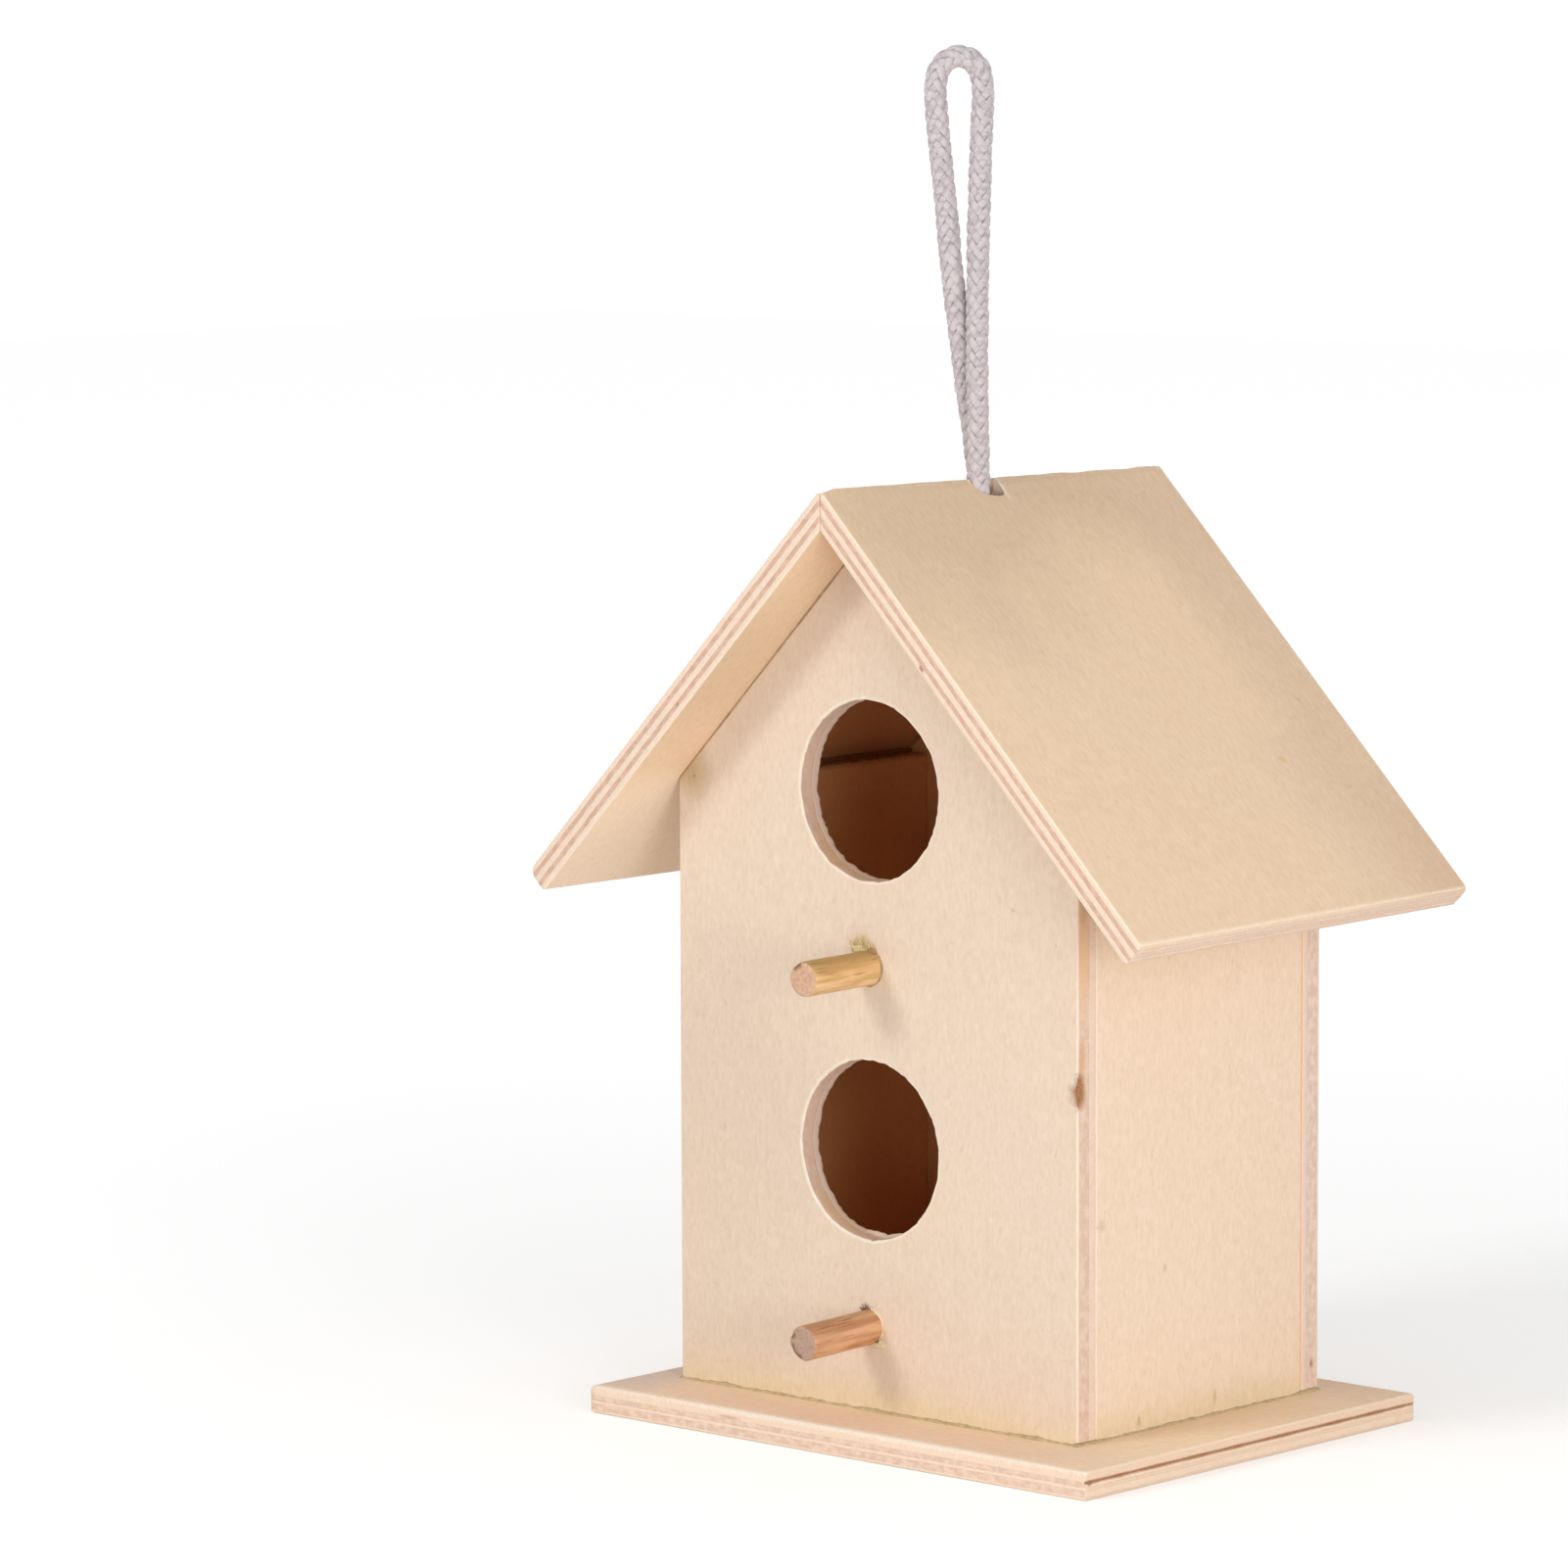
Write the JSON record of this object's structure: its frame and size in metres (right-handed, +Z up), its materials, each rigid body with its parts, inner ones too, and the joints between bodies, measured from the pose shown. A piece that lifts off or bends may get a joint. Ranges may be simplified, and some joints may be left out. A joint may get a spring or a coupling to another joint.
{
  "type": "bird nest box",
  "caption": "Small two-storey plywood bird house with a gable roof, round entrance holes over dowel perches, and a cord loop through the ridge to hang it by.",
  "frame": {"origin": "underside of the base plate, under the middle of the four walls", "axes": "+Z up, -Y out of the front wall with the entrance holes, ridge of the roof along Y"},
  "size_m": [0.1414, 0.096, 0.2455],
  "materials": {
    "base_ply": "raw birch plywood, sanded",
    "wall_ply": "raw birch plywood, sanded",
    "roof_ply": "raw birch plywood, sanded",
    "upper_perch_wood": "raw honey-coloured dowel",
    "lower_perch_wood": "raw reddish dowel",
    "cotton_cord": "braided cotton cord, matt"
  },
  "bodies": {
    "house": {"base_plate": "base_ply", "front_panel": "wall_ply", "back_panel": "wall_ply", "left_side_panel": "wall_ply", "right_side_panel": "wall_ply", "left_roof_panel": "roof_ply", "right_roof_panel": "roof_ply", "upper_perch": "upper_perch_wood", "lower_perch": "lower_perch_wood", "cord_neck_front": "cotton_cord", "cord_neck_rear": "cotton_cord", "cord_knot": "cotton_cord"},
    "loop": {"hanging_loop": "cotton_cord"}
  },
  "joints": [
    {"name": "loop_tip", "type": "hinge", "parent": "house", "child": "loop", "pos_m": [0, -0.0044, 0.17233], "axis": [1, 0, 0], "range_deg": [-80, 80], "stiffness_Nm_per_rad": 0.002, "deforming": ["cord_neck_front", "cord_neck_rear"]}
  ]
}
